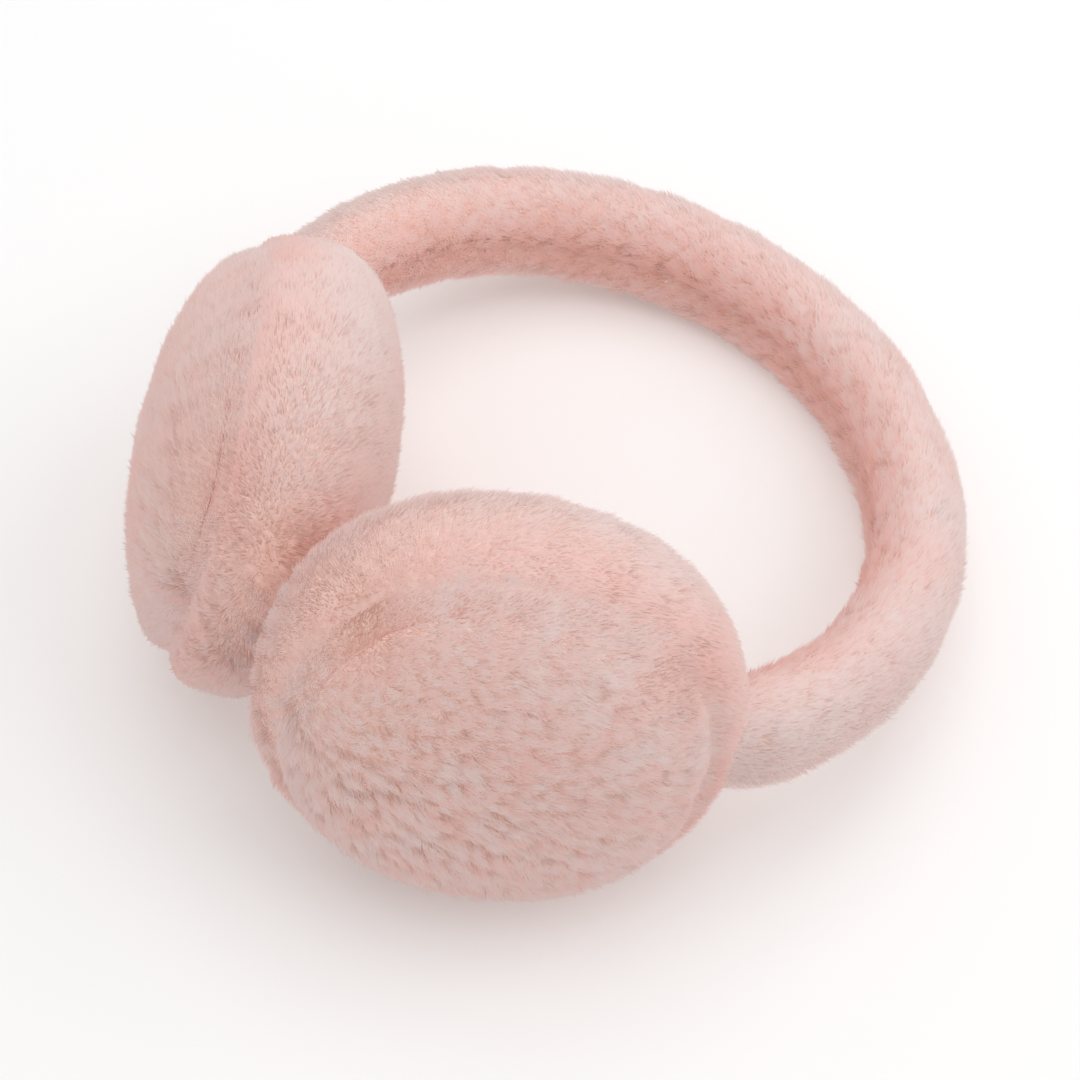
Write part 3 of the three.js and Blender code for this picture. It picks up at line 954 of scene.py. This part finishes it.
for number, (side, mirror) in enumerate(SIDES.items(), start=1):
    matrix = pad_matrix(mirror)
    skin = PadSkin(HOLLOWS[side])
    for half, count, (per_lock, spacing, width), low, high, own_seed in PANELS:
        seed = 100 * number + own_seed
        node = f"{side}_pad_{half}"
        centres = pad_skin.scatter(count // per_lock, low, high)
        hairs = grow(skin, centres, per_lock, spacing, COATS[node], seed)
        hairs = kept(hairs, ~under_band(hairs, matrix) & ~worn_off(hairs, skin, seed))
        mesh = kites(placed(hairs, matrix, mirror), f"{node}_fur", width, seed)
        piece = dressed(registered(mesh, f"{node}_fur", node))
        print(piece.name, "locks:", len(centres), "hairs:", len(hairs["tone"]))

# %% [markdown]
# ## Growing the sleeve's fur
# The sleeve's fur is split into two halves at the crown, so that each mesh stays light. It stops where
# it would grow inside a pad.

# %% Fur on the sleeve
SLEEVE_HAIRS = 76000
SLEEVE_LOCK = (64, 3.6 * MM)
SLEEVE_HAIR_WIDTH = 0.28 * MM
SLEEVE_SEED = 500
PAD_COVER = 0.8


def inside_pads(hairs):
    """True for hairs of the sleeve whose middles lie inside a pad."""
    in_world = moved(band_matrix(), hairs["bend"])
    inside = np.zeros(len(in_world), dtype=bool)
    for mirror in SIDES.values():
        in_pad = moved(np.linalg.inv(pad_matrix(mirror)), in_world)
        inside |= pad_skin.fill(in_pad) < PAD_COVER
    return inside


for side, mirror in SIDES.items():
    seed = SLEEVE_SEED + mirror
    low, high = sorted((0.0, mirror * BAND_SWEEP))
    centres = band_skin.scatter(SLEEVE_HAIRS // SLEEVE_LOCK[0], low, high)
    hairs = grow(band_skin, centres, *SLEEVE_LOCK, sleeve_coat, seed)
    hairs = kept(hairs, ~inside_pads(hairs))
    mesh = kites(placed(hairs, band_matrix()), f"headband_fur_{side}", SLEEVE_HAIR_WIDTH, seed)
    piece = dressed(registered(mesh, f"headband_fur_{side}", "headband_sleeve"))
    print(piece.name, "locks:", len(centres), "hairs:", len(hairs["tone"]))

# %% [markdown]
# ## Table and light
# The table is plain and pale. Light comes from a wide soft panel overhead, one at the right, a weak one
# at the left, and an even glow all round, as in a light tent. Their strengths were fitted with renders
# of one light each, so that their sum comes near the brightness of the photograph in 25 places.

# %% Table
TABLE_REACH = 12.0


def table():
    bm = bmesh.new()
    bmesh.ops.create_grid(bm, x_segments=1, y_segments=1, size=TABLE_REACH)
    mesh = bpy.data.meshes.new("table")
    bm.to_mesh(mesh)
    bm.free()
    top = bpy.data.objects.new("table", mesh)
    bpy.context.scene.collection.objects.link(top)
    top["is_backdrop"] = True
    material = bpy.data.materials.new("table_white")
    material.use_nodes = True
    surface = material.node_tree.nodes["Principled BSDF"]
    surface.inputs["Base Color"].default_value = (0.92, 0.92, 0.92, 1.0)
    surface.inputs["Roughness"].default_value = 0.9
    mesh.materials.append(material)


table()


# %% Light
PANEL_DISTANCE = 1.4
PANEL_SIZE = 1.2


def soft_panel(name, azimuth, elevation, power):
    data = bpy.data.lights.new(name, "AREA")
    data.shape = "DISK"
    data.size = PANEL_SIZE
    data.energy = power
    panel = bpy.data.objects.new(name, data)
    turn = math.radians(azimuth)
    rise = math.radians(elevation)
    panel.location = (
        PANEL_DISTANCE * math.cos(rise) * math.sin(turn),
        -PANEL_DISTANCE * math.cos(rise) * math.cos(turn),
        PANEL_DISTANCE * math.sin(rise),
    )
    aim = Matrix.Rotation(turn, 4, "Z") @ Matrix.Rotation(math.pi / 2 - rise, 4, "X")
    panel.rotation_euler = aim.to_euler()
    bpy.context.scene.collection.objects.link(panel)


soft_panel("top_panel", 230.0, 76.0, 5.59)
soft_panel("right_panel", 140.0, 45.0, 5.02)
soft_panel("left_panel", 320.0, 45.0, 1.23)
world = bpy.data.worlds.new("light_tent")
world.use_nodes = True
world.node_tree.nodes["Background"].inputs["Color"].default_value = (1.0, 1.0, 1.0, 1.0)
world.node_tree.nodes["Background"].inputs["Strength"].default_value = 0.663
bpy.context.scene.world = world
bpy.context.scene.view_settings.view_transform = "Standard"

# %% [markdown]
# ## Finish
# The box of the finished model is printed.

# %% Print the box of the finished model
low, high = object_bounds()
print("visual box in mm:", [round(v * 1000, 1) for v in (*low, *high)])
